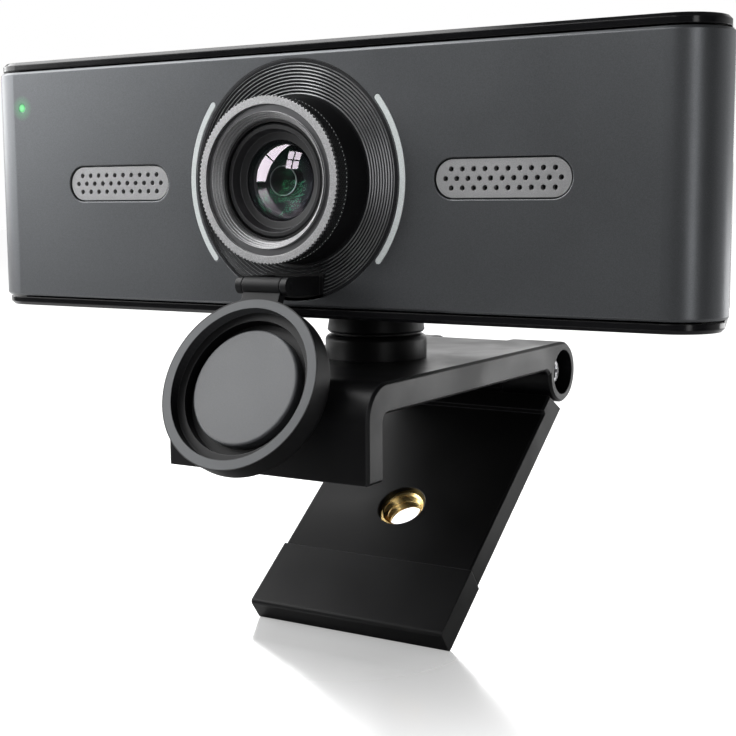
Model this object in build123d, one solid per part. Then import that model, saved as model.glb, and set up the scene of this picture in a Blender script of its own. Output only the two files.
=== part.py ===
from build123d import *
import os
from math import cos, radians, sin, sqrt, tan

# A webcam whose wide head turns on a folding monitor clip.
# Millimetres and degrees.  X is the width, Y runs from the lens towards the back, Z is up.
# Pieces are drawn about the lens axis at the front panel, then stood on the lowest point of the clip.
# Cuts run a millimetre past the faces that they open.

# ------------------------------------------------------------------ head housing
head_width = 110.0
panel_height = 32.4
head_depth = 28.0
front_corner = 6.0            # plan radius of the front panel's ends
rear_corner = 5.0
rear_taper = 15.0             # how far the rear cover's sides turn in
panel_wrap = 6.4              # how far the front panel wraps round the sides
panel_wall = 2.0
panel_edge = 0.3              # broken edge round the panel
seam = 0.35                   # shadow line behind the front panel
rear_inset = 0.35
rear_wall = 2.2
tongue_depth = 2.0            # the rear cover's tongue inside the front panel
tongue_wall = 1.2
cap_inset = 0.4
cap_gap = 0.25                # shadow line between a cap and the panel
cap_thickness = 1.2
cap_edge = 0.45
cap_rim = 2.0                 # depth of the rim that locates a cap
cap_rim_wall = 1.1
fit_gap = 0.05                # between pieces that are pushed together

# ------------------------------------------------------------------ lens surround
bezel_margin = 0.8            # between the surround and the panel's upper and lower edges
bezel_land = 0.35             # flat outer lip of the surround
bezel_dish = 0.7              # how much deeper the dish is at the barrel
groove_count = 10
groove_depth = 0.24
groove_floor_share = 0.45     # share of each groove's pitch where its floor begins
groove_wall_share = 0.72      # and where its sloping wall begins
arc_gap = 0.35                # between the surround and an arc
arc_width = 0.78
arc_half_angle = 38.5
arc_proud = 0.05

# ------------------------------------------------------------------ microphones and indicator
grille_centre = 29.5
grille_length = 17.6
grille_height = 4.6
grille_gap = 0.22             # black gap round a grille plate
grille_ledge = 0.7            # ledge that the plate sits on
grille_thickness = 0.8
grille_recess = 0.2
hole_diameter = 0.66
hole_pitch = 1.5
hole_row_pitch = 1.13
hole_rows = (10, 11, 10)
microphone_size = (3.8, 1.1, 3.0)
boot_wall = 0.8
led_from_end = 7.6            # the indicator's place in from the head's end
led_from_top = 5.2            # and down from the panel's upper edge
led_radius = 0.55
led_flange = 0.5

# ------------------------------------------------------------------ lens
barrel_radius = 10.4
barrel_foot = 0.35            # the barrel swells by this much at the surround
barrel_front = 3.4            # how far the fixed barrel stands out of the panel
barrel_wall = 1.9
knurl_radius = 10.5
knurl_depth = 0.22
knurl_teeth = 120
knurl_front = 5.55            # front of the knurled band
lens_front = 6.0              # front of the bright ring
ring_gap = 0.12               # running gap behind the knurled band
bright_inner = 9.45           # the bright ring's inner edge
trough_depth = 0.35
thread_outer = 8.5            # the bright funnel's outer edge
thread_inner = 7.6
thread_depth = 1.25
thread_lines = 4
line_lip = 0.6                # share of each line's step that slopes
funnel_wall = 0.2
cell_radius = 7.25
cell_front = 4.35             # front of the inner lens cell
cell_lip = 0.75
cell_edge = 0.3
cone_width = 1.0              # last step of the cone round the front glass
cone_lip = 0.15
glass_radius = 5.1
glass_seat = 3.0              # front glass edge, in front of the panel
glass_bulge = 1.5
glass_thickness = 2.2
rear_glass_radius = 3.2
rear_glass_thickness = 1.6
aperture_radius = 1.6
aperture_wall = 0.8
running_gap = 0.05            # shaft in a bore
cell_back = 6.2               # back of the lens cell, behind the panel

# ------------------------------------------------------------------ circuit boards
board_front = 9.0
board_thickness = 1.2
board_end_margin = 6.4        # between the board's end and the head's
board_margin = 3.6            # between the board and the panel's upper and lower edges
sensor_size = 7.0
sensor_thickness = 1.0
mount_margin = 0.5            # the board is taller than the lens mount by this much at each edge
mount_flange = 1.5
mount_flange_margin = 1.0     # the round flange is wider than the square base by this much
mount_bore_past = 0.4         # the bore runs this far past the lens cell
sensor_window_margin = 0.5
post_clearance = 0.3          # round a post that passes a board or a mount
board_post_x = 19.0
board_post_from_edge = 6.8    # down from the panel's upper edge, or up from its lower one
post_radius = 1.9
board_screw_radius = 0.8
board_screw_head = 1.5
board_screw_head_height = 0.9
board_screw_length = 4.0

# ------------------------------------------------------------------ housing screws
screw_from_end = 14.0
screw_from_edge = 6.8         # down from the panel's upper edge, or up from its lower one
screw_post_radius = 2.6
screw_post_back = 14.0        # front posts end here and the rear cover's bosses begin
screw_boss_radius = 3.1
screw_radius = 1.1
screw_head_radius = 2.0
screw_head_height = 1.4
screw_head_gap = 0.25
screw_seat_from_back = 10.0    # depth of the counterbores
screw_boss_root = 1.0         # the bosses run this far into the back wall
screw_length = 9.0
screw_cross_width = 0.5
screw_cross_length = 2.6
screw_cross_depth = 0.6

# ------------------------------------------------------------------ top buttons
button_from_end = (20.0, 34.5)
button_y = 11.0
button_radius = 2.15
button_gap = 0.3
button_proud = 0.6
button_travel = 0.35
button_dome = 0.3
button_flange = 0.55
button_flange_thickness = 0.6
switch_size = (4.5, 4.5, 2.2)
switch_stem_radius = 0.9
switch_stem = 0.5
button_board_thickness = 1.0
button_board_margin = 3.0
button_board_overhang = 1.0   # behind the switches

# ------------------------------------------------------------------ cable inlet
inlet_x = 27.0
inlet_z = -6.0
inlet_radius = 3.6
inlet_bore = 1.9
inlet_flange = 0.8
inlet_flange_thickness = 0.8
socket_size = (10.0, 4.5, 4.0)

# ------------------------------------------------------------------ swivel
swivel_from_back = 7.4        # swivel axis, in from the head's back
neck_top_radius = 6.45
neck_bottom_radius = 7.0
neck_drop = 3.4
neck_edge = 0.3
neck_spigot_radius = 4.2
neck_spigot_height = 4.5
washer_radius = 6.0
washer_thickness = 0.35
collar_radius = 7.25
collar_height = 3.35
collar_edge = 0.8
bolt_radius = 2.0
bolt_head_radius = 3.4
bolt_head_height = 1.4
bolt_head_gap = 0.3
hex_key = 2.5
hex_depth = 0.8
nut_width = 7.0
nut_height = 2.4
bolt_end = 0.6                # thread showing past the nut

# ------------------------------------------------------------------ clip bracket
clip_width = 31.0
plate_thickness = 4.0
lip_front = -7.4              # Y of the lip's front face
lip_thickness = 3.7
lip_drop = 12.4               # from the plate's top to the bottom of the lip
clip_outer_corner = 4.6
clip_inner_corner = 1.1
clip_edge = 0.35
pad_thickness = 0.9
pad_recess = 0.6
pad_margin = 2.2

# ------------------------------------------------------------------ clip hinge
hinge_y = 52.1
hinge_below_plate = 4.8       # hinge axis below the plate's top
hinge_radius = 4.75
hinge_web = 2.0               # concave radius between the plate and a barrel
knuckle_width = 13.0          # the leg's middle knuckle
knuckle_gap = 0.35            # beside the knuckle
knuckle_clear = 0.6           # round the knuckle
pin_radius = 1.5
pin_washer = 0.3
hinge_counterbore = 3.5
hinge_counterbore_depth = 2.6
hinge_screw_radius = 1.95
hinge_screw_height = 1.2
hinge_screw_shank = 0.9
hinge_screw_reach = 5.0
hinge_screw_end_gap = 0.5     # below the screw's end in the pin
hinge_washer_radius = 3.75
cross_width = 0.55
cross_length = 2.2
cross_depth = 0.6

# ------------------------------------------------------------------ clip leg
leg_fall = 36.8               # the leg slopes down this much from level
leg_over_clip = 0.2           # the leg is this much wider than the clip
leg_thickness = 4.0
leg_reach = 51.75             # hinge axis to the foot's end
leg_offset = 0.2              # hinge axis above the leg's inner face
leg_root_gap = 1.25           # between the leg's shoulder and the hinge barrels
leg_heel = 2.1                # the shoulder's outer corner is this much nearer the hinge
leg_step_length = 3.3
leg_step = 0.8                # the leg is this much thicker at its shoulder
leg_edge = 0.3
foot_length = 11.3
foot_overlap = 0.2            # the foot pad is wider than the leg by this much each side
foot_edge = 0.6
foot_tongue = 1.8             # thickness of the leg inside the foot pad
foot_tongue_length = 8.5
foot_tongue_margin = 3.0
insert_from_foot = 21.25
insert_radius = 3.7
insert_minor = 2.6            # 1/4-20 UNC, minor radius
insert_recess = 0.7
insert_chamfer = 0.45

# ------------------------------------------------------------------ privacy cover
cover_radius = 11.25
cover_depth = 4.2
cover_rim = 1.33
cover_floor = 1.1
cover_edge = 1.3
cover_step = 1.5              # depth of the inner step
cover_step_width = 1.1
cover_standoff = 0.25         # rim to bright ring when shut
cover_open = 153.5
cover_hinge_drop = 13.1       # hinge axis below the lens axis
cover_hinge_back = 0.35       # hinge axis in front of the shut rim
cover_knuckle = 1.15
cover_tab_width = 5.6
cover_tab_thickness = 2.0
cover_pin_radius = 0.5
cover_prong = 0.9
cover_prong_gap = 0.15
pad_radius = 7.6
pad_height = 1.6
pad_edge = 0.3
fork_half_width = 4.4
fork_clear = 1.15             # between the barrel's foot and the fork's base
fork_shoulder = 0.3
fork_rim = 0.8                # between the prongs' underside and the surround's edge
fork_web = 0.4                # the base stands out this far between the prongs

# ------------------------------------------------------------------ places worked out from the sizes
cap_bottom = panel_height / 2 + cap_gap
head_top = cap_bottom + cap_thickness
bezel_radius = panel_height / 2 - bezel_margin
arc_inner = bezel_radius + arc_gap
led_z = panel_height / 2 - led_from_top
board_back = board_front + board_thickness
board_height = panel_height - 2 * board_margin
mount_size = board_height - 2 * mount_margin
board_post_z = panel_height / 2 - board_post_from_edge
board_width = head_width - 2 * board_end_margin
led_x = led_from_end - head_width / 2
button_x = [end - head_width / 2 for end in button_from_end]
screw_x = head_width / 2 - screw_from_end
screw_z = panel_height / 2 - screw_from_edge
screw_seat = head_depth - screw_seat_from_back
swivel_y = head_depth - swivel_from_back
leg_width = clip_width + leg_over_clip
neck_bottom_z = -head_top - neck_drop
collar_top_z = neck_bottom_z - washer_thickness
plate_top_z = collar_top_z - collar_height
plate_bottom_z = plate_top_z - plate_thickness
hinge_z = plate_top_z - hinge_below_plate
bolt_seat_z = plate_bottom_z + bolt_head_height + bolt_head_gap
barrel_bore = barrel_radius - barrel_wall
cover_shut_y = -lens_front - cover_standoff
cover_hinge_y = cover_shut_y - cover_hinge_back
cover_hinge_z = -cover_hinge_drop
fork_top_z = -(barrel_radius + barrel_foot + fork_clear)
fork_arm_z = -(bezel_radius - fork_rim)      # underside of the prongs where they leave the base


# ------------------------------------------------------------------ drawing helpers
def block(x, y, z):
    """A box from its ranges along X, Y and Z."""
    size = (x[1] - x[0], y[1] - y[0], z[1] - z[0])
    centre = ((x[0] + x[1]) / 2, (y[0] + y[1]) / 2, (z[0] + z[1]) / 2)
    return Pos(*centre) * Box(*size)


def rod(axis, radius, start, end, at):
    """A cylinder along X, Y or Z from start to end; at is its place on the other two axes."""
    middle = (start + end) / 2
    if axis == "X":
        place = Pos(middle, at[0], at[1]) * Rot(0, 90, 0)
    elif axis == "Y":
        place = Pos(at[0], middle, at[1]) * Rot(90, 0, 0)
    else:
        place = Pos(at[0], at[1], middle)
    return place * Cylinder(radius, abs(end - start))


def turned(points):
    """A solid of revolution about the lens axis from (radius, y) points."""
    outline = Polyline(*[(r, y) for r, y in points], close=True)
    return revolve(make_face(outline), Axis.Y)


def ring_of(outer, inner, start, end):
    """A plain ring round the lens axis."""
    return turned([(inner, start), (outer, start), (outer, end), (inner, end)])


def pill(length, height, y0, y1, x):
    """A stadium-shaped block along Y."""
    face = Plane.XZ * SlotOverall(length, height)
    return Pos(x, y1, 0) * extrude(face, amount=y1 - y0)


def mirrored(shape):
    return mirror(shape, about=Plane.YZ)


def side_profile(points, half_width):
    """A block of constant width in X from (y, z) points."""
    face = Plane.YZ * make_face(Polyline(*points, close=True))
    return extrude(face, amount=half_width, both=True)


# ------------------------------------------------------------------ head housing
def plan_outline(inset=0.0):
    """Outline of the head seen from above, moved in by inset."""
    front = head_width / 2
    back = front - (head_depth - panel_wrap) * tan(radians(rear_taper))
    points = [(-front, 0), (front, 0), (front, panel_wrap), (back, head_depth),
              (-back, head_depth), (-front, panel_wrap)]
    face = make_face(Polyline(*points, close=True))
    face = fillet(face.vertices().group_by(Axis.Y)[0], front_corner)
    face = fillet(face.vertices().group_by(Axis.Y)[-1], rear_corner)
    if inset:
        face = offset(face, -inset, kind=Kind.INTERSECTION)
    return face


def prism(inset, z0, z1):
    return Pos(0, 0, z0) * extrude(plan_outline(inset), amount=z1 - z0)


def across(y0, y1, z=None):
    """Everything of the head between two depths."""
    height = z or panel_height
    return block((-head_width, head_width), (y0, y1), (-height, height))


def light_arc(clearance=0.0):
    """The curved light on the +X side of the lens surround."""
    inner = arc_inner - clearance
    outer = arc_inner + arc_width + clearance
    middle = (inner + outer) / 2
    half = radians(arc_half_angle)
    band = ring_of(outer, inner, -arc_proud, panel_wall)
    wedge_points = [(0, 0), (2 * outer * cos(half), -2 * outer * sin(half)),
                    (2 * outer * cos(half), 2 * outer * sin(half))]
    wedge = Pos(0, panel_wall + 1, 0) * extrude(
        Plane.XZ * make_face(Polyline(*wedge_points, close=True)), amount=panel_wall + 2)
    band &= wedge
    for side in (-1, 1):
        end = (middle * cos(half), side * middle * sin(half))
        band += rod("Y", (outer - inner) / 2, -arc_proud, panel_wall, end)
    return band


def front_panel():
    """Front shell: a panel that wraps round both ends, with its openings and posts."""
    half = panel_height / 2
    panel = prism(0, -half, half)
    rims = panel.faces().sort_by(Axis.Z)
    panel = chamfer(rims[0].edges() + rims[-1].edges(), panel_edge)
    panel -= prism(panel_wall, -half - 1, half + 1)
    panel &= across(-1, panel_wrap)
    panel -= rod("Y", bezel_radius + fit_gap, -1, panel_wall + 1, (0, 0))
    for side in (-1, 1):
        x = side * grille_centre
        panel -= pill(grille_length + 2 * grille_gap, grille_height + 2 * grille_gap,
                      -1, grille_recess + grille_thickness, x)
        panel -= pill(grille_length - 2 * grille_ledge, grille_height - 2 * grille_ledge,
                      -1, panel_wall + 1, x)
    arc = light_arc(fit_gap)
    panel -= arc
    panel -= mirrored(arc)
    panel -= rod("Y", led_radius + fit_gap, -1, panel_wall + 1, (led_x, led_z))
    for sx in (-1, 1):
        for sz in (-1, 1):
            at = (sx * board_post_x, sz * board_post_z)
            post = rod("Y", post_radius, panel_wall, board_front, at)
            panel += post - rod("Y", board_screw_radius, panel_wall, board_front, at)
            at = (sx * screw_x, sz * screw_z)
            post = rod("Y", screw_post_radius, panel_wall, screw_post_back, at)
            panel += post - rod("Y", screw_radius, panel_wall, screw_post_back, at)
    return panel


def rear_cover():
    """Rear shell: tapered sides and back, a tongue into the front panel and screw bosses."""
    half = panel_height / 2
    start = panel_wrap + seam
    walls = prism(rear_inset, -half, half) - prism(rear_inset + rear_wall, -half - 1, half + 1)
    cover = walls & across(start, head_depth)
    inner = panel_wall + fit_gap
    tongue_half = half - cap_rim - fit_gap
    tongue = prism(inner, -tongue_half, tongue_half)
    tongue -= prism(inner + tongue_wall, -half, half)
    cover += tongue & across(panel_wrap - tongue_depth, start + rear_wall)
    for sx in (-1, 1):
        for sz in (-1, 1):
            at = (sx * screw_x, sz * screw_z)
            boss_back = head_depth - rear_inset - screw_boss_root
            cover += rod("Y", screw_boss_radius, screw_post_back, boss_back, at)
            cover -= rod("Y", screw_head_radius + screw_head_gap, screw_seat, head_depth + 1, at)
            cover -= rod("Y", screw_radius + fit_gap, screw_post_back - 1, screw_seat + 1, at)
    cover -= rod("Y", inlet_radius + fit_gap, head_depth - 2 * rear_wall, head_depth + 1,
                 (inlet_x, inlet_z))
    return cover


def cap():
    """Glossy lid over the whole head, with the rim that locates it; the bottom one is its mirror."""
    lid = prism(cap_inset, cap_bottom, head_top)
    lid = chamfer(lid.faces().sort_by(Axis.Z)[-1].edges(), cap_edge)
    inner = rear_inset + rear_wall + fit_gap
    rim = prism(inner, panel_height / 2 - cap_rim, cap_bottom)
    rim -= prism(inner + cap_rim_wall, 0, cap_bottom)
    return lid + rim


def top_cap():
    lid = cap()
    for x in button_x:
        lid -= rod("Z", button_radius + button_gap, 0, head_top + 1, (x, button_y))
    return lid


def bottom_cap():
    lid = mirror(cap(), about=Plane.XY)
    return lid - rod("Z", neck_spigot_radius + fit_gap, -head_top - 1, 0, (0, swivel_y))


# ------------------------------------------------------------------ lens surround and front details
def lens_bezel():
    """Dished surround with concentric grooves, cut at the bottom for the cover's fork."""
    bore = barrel_radius + fit_gap
    outer = bezel_radius - bezel_land
    inner = bore + barrel_foot
    points = [(bore, panel_wall), (bezel_radius, panel_wall), (bezel_radius, 0), (outer, 0)]
    pitch = (outer - inner) / groove_count
    slope = bezel_dish / (outer - inner)
    for i in range(groove_count):
        crest = outer - i * pitch
        for share, deep in ((groove_floor_share, groove_depth), (groove_wall_share, groove_depth), (1, 0)):
            r = crest - share * pitch
            points.append((r, (outer - r) * slope + deep))
    points.append((bore, bezel_dish))
    disc = turned(points)
    half = fork_half_width + fit_gap
    return disc - block((-half, half), (-1, panel_wall + 1), (-2 * bezel_radius, fork_top_z + fit_gap))


def grille():
    """Perforated plate in front of one microphone."""
    back = grille_recess + grille_thickness
    plate = pill(grille_length, grille_height, grille_recess, back, 0)
    for row, count in enumerate(hole_rows):
        z = ((len(hole_rows) - 1) / 2 - row) * hole_row_pitch
        for i in range(count):
            x = (i - (count - 1) / 2) * hole_pitch
            plate -= rod("Y", hole_diameter / 2, grille_recess - 1, back + 1, (x, z))
    return plate


def microphones():
    wide, deep, tall = microphone_size
    x = grille_centre
    one = block((x - wide / 2, x + wide / 2), (board_front - deep, board_front), (-tall / 2, tall / 2))
    return [one, mirrored(one)]


def microphone_boots():
    """Rubber tubes that seal each microphone to the back of its grille."""
    length = grille_length - 2 * grille_ledge
    height = grille_height - 2 * grille_ledge + 2 * boot_wall
    boot = pill(length, height, panel_wall, board_front, grille_centre)
    boot -= pill(length - 2 * boot_wall, height - 2 * boot_wall, 0, board_front + 1, grille_centre)
    wide, deep, tall = microphone_size
    side = boot_wall / 2
    boot -= block((grille_centre - wide / 2 - side, grille_centre + wide / 2 + side),
                  (board_front - deep, board_front), (-tall / 2, tall / 2))
    return [boot, mirrored(boot)]


def led_pipe():
    """Clear pipe from the indicator on the board to the front panel."""
    at = (led_x, led_z)
    pipe = rod("Y", led_radius, 0, board_front - sensor_thickness, at)
    return pipe + rod("Y", led_radius + led_flange, panel_wall, panel_wall + led_flange, at)


def indicator_led():
    half = led_radius + led_flange / 2
    return block((led_x - half, led_x + half), (board_front - sensor_thickness, board_front),
                 (led_z - half, led_z + half))


# ------------------------------------------------------------------ lens
def lens_barrel():
    """Fixed outer barrel, seated on the lens mount."""
    swell = barrel_radius + barrel_foot
    points = [(barrel_bore, panel_wall), (barrel_radius, panel_wall), (barrel_radius, bezel_dish),
              (swell, bezel_dish - groove_depth), (barrel_radius, -barrel_front),
              (barrel_bore, -barrel_front)]
    return turned(points)


def knurled(start, end, inner):
    """A ring with straight knurling on its outside."""
    root = knurl_radius - knurl_depth
    step = 180 / knurl_teeth
    points = []
    for i in range(2 * knurl_teeth):
        r = knurl_radius if i % 2 == 0 else root
        points.append((r * cos(radians(i * step)), r * sin(radians(i * step))))
    face = Plane.XZ * make_face(Polyline(*points, close=True))
    ring = Pos(0, end, 0) * extrude(face, amount=end - start)
    return ring - rod("Y", inner, start - 1, end + 1, (0, 0))


def focus_ring():
    """Black knurled band that turns the lens cell."""
    end = -barrel_front - ring_gap
    seat = -lens_front + thread_depth + funnel_wall
    points = [(cell_radius + fit_gap, seat), (bright_inner + fit_gap, seat), (bright_inner + fit_gap, end),
              (barrel_bore - running_gap, end), (barrel_bore - running_gap, cell_back - 1),
              (cell_radius + fit_gap, cell_back - 1)]
    return knurled(-knurl_front, end, bright_inner) + turned(points)


def bright_rim():
    """Machined front edge of the focus ring."""
    return knurled(-lens_front, -knurl_front, bright_inner)


def lens_funnel():
    """Ring inside the bright rim: a trough, then a funnel with turned lines."""
    outer = bright_inner - fit_gap / 5
    floor = -lens_front + trough_depth
    seat = -lens_front + thread_depth + funnel_wall
    points = [(thread_inner, seat), (outer, seat), (outer, floor), (thread_outer, floor),
              (thread_outer, -lens_front)]
    step = (thread_outer - thread_inner) / thread_lines
    fall = thread_depth / thread_lines
    for i in range(thread_lines):
        r = thread_outer - i * step
        y = -lens_front + i * fall
        points.append((r - step * line_lip, y + fall * line_lip))
        points.append((r - step * line_lip, y + fall))
        points.append((r - step, y + fall))
    return turned(points[:-1])


def lens_cell():
    """Inner barrel that carries the glass, with the stepped cone round the front element."""
    r = cell_radius
    front = -cell_front
    seat = -glass_seat
    points = [(r, front + cell_edge), (r - cell_edge, front), (r - cell_lip, front),
              (glass_radius + cone_width, seat - cone_lip), (glass_radius + fit_gap, seat),
              (glass_radius + fit_gap, seat + glass_thickness), (rear_glass_radius, seat + glass_thickness),
              (rear_glass_radius, seat + glass_thickness + aperture_wall),
              (aperture_radius, seat + glass_thickness + aperture_wall),
              (aperture_radius, cell_back - rear_glass_thickness),
              (rear_glass_radius + fit_gap, cell_back - rear_glass_thickness),
              (rear_glass_radius + fit_gap, cell_back), (r, cell_back)]
    return turned(points)


def dome(radius, bulge, edge_y, back_y):
    """A plano-convex lens that bulges forwards."""
    sphere_radius = (radius ** 2 + bulge ** 2) / (2 * bulge)
    ball = Pos(0, edge_y - bulge + sphere_radius, 0) * Sphere(sphere_radius)
    return ball & rod("Y", radius, edge_y - bulge - 1, back_y, (0, 0))


def front_lens():
    return dome(glass_radius, glass_bulge, -glass_seat, -glass_seat + glass_thickness)


def rear_lens():
    return ring_of(rear_glass_radius, 0, cell_back - rear_glass_thickness, cell_back)


def lens_mount():
    """Camera mount: a square base on the board and a round flange behind the surround."""
    half = mount_size / 2
    mount = block((-half, half), (panel_wall + mount_flange, board_front), (-half, half))
    mount += rod("Y", half + mount_flange_margin, panel_wall, panel_wall + mount_flange, (0, 0))
    mount -= rod("Y", barrel_bore, panel_wall - 1, cell_back + mount_bore_past, (0, 0))
    window = sensor_size / 2 + sensor_window_margin
    mount -= block((-window, window), (cell_back, board_front + 1), (-window, window))
    for sx in (-1, 1):
        for sz in (-1, 1):
            at = (sx * board_post_x, sz * board_post_z)
            mount -= rod("Y", post_radius + post_clearance, 0, board_front + 1, at)
    return mount


# ------------------------------------------------------------------ circuit boards and fasteners
def main_board():
    half_x, half_z = board_width / 2, board_height / 2
    board = block((-half_x, half_x), (board_front, board_back), (-half_z, half_z))
    for sx in (-1, 1):
        for sz in (-1, 1):
            at = (sx * screw_x, sz * screw_z)
            board -= rod("Y", screw_post_radius + post_clearance, 0, board_back + 1, at)
            board -= rod("Y", board_screw_radius + fit_gap, 0, board_back + 1,
                         (sx * board_post_x, sz * board_post_z))
    return board


def image_sensor():
    half = sensor_size / 2
    return block((-half, half), (board_front - sensor_thickness, board_front), (-half, half))


def cable_socket():
    """Plug-in header for the cable, behind the board."""
    wide, deep, tall = socket_size
    return block((inlet_x - wide / 2, inlet_x + wide / 2), (board_back, board_back + deep),
                 (inlet_z - tall / 2, inlet_z + tall / 2))


def board_screws():
    screws = []
    for sx in (-1, 1):
        for sz in (-1, 1):
            at = (sx * board_post_x, sz * board_post_z)
            head = rod("Y", board_screw_head, board_back, board_back + board_screw_head_height, at)
            shank_front = board_back - board_screw_length
            shank = rod("Y", board_screw_radius - fit_gap / 5, shank_front, board_back, at)
            screws.append(head + shank)
    return screws


def cross_cut(width, length, depth):
    """The two bars of a cross recess, sunk below the XY plane."""
    bars = Box(length, width, depth) + Box(width, length, depth)
    return Pos(0, 0, -depth / 2) * bars


def housing_screws():
    screws = []
    for sx in (-1, 1):
        for sz in (-1, 1):
            at = (sx * screw_x, sz * screw_z)
            head_back = screw_seat + screw_head_height
            screw = rod("Y", screw_head_radius, screw_seat, head_back, at)
            screw += rod("Y", screw_radius - fit_gap / 5, screw_seat - screw_length, screw_seat, at)
            cross = cross_cut(screw_cross_width, screw_cross_length, screw_cross_depth)
            screws.append(screw - Pos(at[0], head_back, at[1]) * Rot(-90, 0, 0) * cross)
    return screws


def cable_inlet():
    """Rubber bush in the back wall where the cable goes in."""
    at = (inlet_x, inlet_z)
    back = head_depth - rear_inset
    bush = rod("Y", inlet_radius, back - rear_wall, back, at)
    bush += rod("Y", inlet_radius + inlet_flange, back, back + inlet_flange_thickness, at)
    inside = back - rear_wall
    bush += rod("Y", inlet_radius + inlet_flange, inside - inlet_flange_thickness, inside, at)
    return bush - rod("Y", inlet_bore, 0, head_depth + 5, at)


# ------------------------------------------------------------------ top buttons
def button(x):
    """Domed key with a flange that stops it under the top cap."""
    at = (x, button_y)
    top = head_top + button_proud
    key = rod("Z", button_radius, cap_bottom, top, at)
    key = fillet(key.faces().sort_by(Axis.Z)[-1].edges(), button_dome)
    return key + rod("Z", button_radius + button_gap + button_flange,
                     cap_bottom - button_flange_thickness, cap_bottom, at)


def button_switches():
    wide, deep, tall = switch_size
    stem_top = cap_bottom - button_flange_thickness
    switches = []
    for x in button_x:
        top = stem_top - switch_stem
        body = block((x - wide / 2, x + wide / 2), (button_y - deep / 2, button_y + deep / 2),
                     (top - tall, top))
        stem = rod("Z", switch_stem_radius, top, stem_top - button_travel, (x, button_y))
        switches.append(body + stem)
    return switches


def button_board():
    """Small board that carries both switches, standing on the main board's back."""
    wide, deep, tall = switch_size
    back = button_y + deep / 2 + button_board_overhang
    top = cap_bottom - button_flange_thickness - switch_stem - tall
    return block((button_x[0] - button_board_margin, button_x[1] + button_board_margin),
                 (board_back, back), (top - button_board_thickness, top))


# ------------------------------------------------------------------ swivel
def neck():
    """Tapered foot of the head, with a spigot up through the bottom cap."""
    centre = (0, swivel_y)
    cone = Pos(0, swivel_y, (neck_bottom_z - head_top) / 2) * Cone(
        neck_bottom_radius, neck_top_radius, neck_drop)
    cone = chamfer(cone.faces().sort_by(Axis.Z)[0].edges(), neck_edge)
    cone += rod("Z", neck_spigot_radius, -head_top, -head_top + neck_spigot_height, centre)
    return cone - rod("Z", bolt_radius + fit_gap, neck_bottom_z - 1, 0, centre)


def swivel_washer():
    centre = (0, swivel_y)
    disc = rod("Z", washer_radius, collar_top_z, neck_bottom_z, centre)
    return disc - rod("Z", bolt_radius + running_gap, collar_top_z - 1, neck_bottom_z + 1, centre)


def swivel_collar():
    centre = (0, swivel_y)
    ring = rod("Z", collar_radius, plate_top_z, collar_top_z, centre)
    ring = fillet(ring.faces().sort_by(Axis.Z)[-1].edges(), collar_edge)
    return ring - rod("Z", bolt_radius + running_gap, plate_top_z - 1, collar_top_z + 1, centre)


def hexagon(across_flats, z0, z1):
    face = RegularPolygon(across_flats / 2, 6, major_radius=False)
    return Pos(0, swivel_y, z0) * extrude(face, amount=z1 - z0)


def nut_seat_z():
    return -head_top + neck_spigot_height


def swivel_bolt():
    """Bolt up through the plate, collar and neck; its head turns in the plate's counterbore."""
    centre = (0, swivel_y)
    top = nut_seat_z() + nut_height + bolt_end
    bolt = rod("Z", bolt_radius, bolt_seat_z, top, centre)
    bolt += rod("Z", bolt_head_radius, bolt_seat_z - bolt_head_height, bolt_seat_z, centre)
    low = bolt_seat_z - bolt_head_height
    return bolt - hexagon(hex_key, low, low + hex_depth)


def swivel_nut():
    nut = hexagon(nut_width, nut_seat_z(), nut_seat_z() + nut_height)
    return nut - rod("Z", bolt_radius + fit_gap / 5, nut_seat_z() - 1, 0, (0, swivel_y))


# ------------------------------------------------------------------ clip bracket
def barrel_web():
    """Side profile that blends a hinge barrel into the plate's underside."""
    drop = plate_bottom_z - hinge_web - hinge_z
    run = sqrt((hinge_radius + hinge_web) ** 2 - drop ** 2)
    centre_y = hinge_y - run
    return centre_y, plate_bottom_z - hinge_web


def bracket_profile():
    """Lip, plate and hinge barrel seen from the side."""
    low = plate_top_z - lip_drop
    back = lip_front + lip_thickness
    web_y, web_z = barrel_web()
    points = [(lip_front, low), (lip_front, plate_top_z), (hinge_y, plate_top_z), (hinge_y, hinge_z),
              (web_y, hinge_z), (web_y, plate_bottom_z), (back, plate_bottom_z), (back, low)]
    face = make_face(Polyline(*points, close=True))
    corners = face.vertices()
    outer = corners.sort_by_distance((lip_front, plate_top_z, 0))[0]
    face = fillet(outer, clip_outer_corner)
    inner = face.vertices().sort_by_distance((back, plate_bottom_z, 0))[0]
    face = fillet(inner, clip_inner_corner)
    face -= Pos(web_y, web_z) * Circle(hinge_web)
    face += Pos(hinge_y, hinge_z) * Circle(hinge_radius)
    return Plane.YZ * face


def clip_bracket():
    """Upper jaw of the clip: lip, plate and the two outer hinge barrels."""
    half = clip_width / 2
    body = extrude(bracket_profile(), amount=half, both=True)
    ends = body.faces().filter_by(Axis.X)
    body = chamfer(ends.edges(), clip_edge)
    middle = knuckle_width / 2 + knuckle_gap
    body -= rod("X", hinge_radius + knuckle_clear, -middle, middle, (hinge_y, hinge_z))
    body -= block((-middle, middle), (hinge_y, hinge_y + 2 * hinge_radius),
                  (hinge_z - 2 * hinge_radius, plate_top_z + 1))
    body -= rod("X", pin_radius + fit_gap / 5, -half - 1, half + 1, (hinge_y, hinge_z))
    for side in (-1, 1):
        outer = side * (half + 1)
        body -= rod("X", hinge_counterbore, side * (half - hinge_counterbore_depth), outer,
                    (hinge_y, hinge_z))
    centre = (0, swivel_y)
    body -= rod("Z", bolt_radius + running_gap, plate_bottom_z - 1, plate_top_z + 1, centre)
    body -= rod("Z", bolt_head_radius + bolt_head_gap, plate_bottom_z - 1, bolt_seat_z, centre)
    return body - lip_pad_seat()


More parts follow.
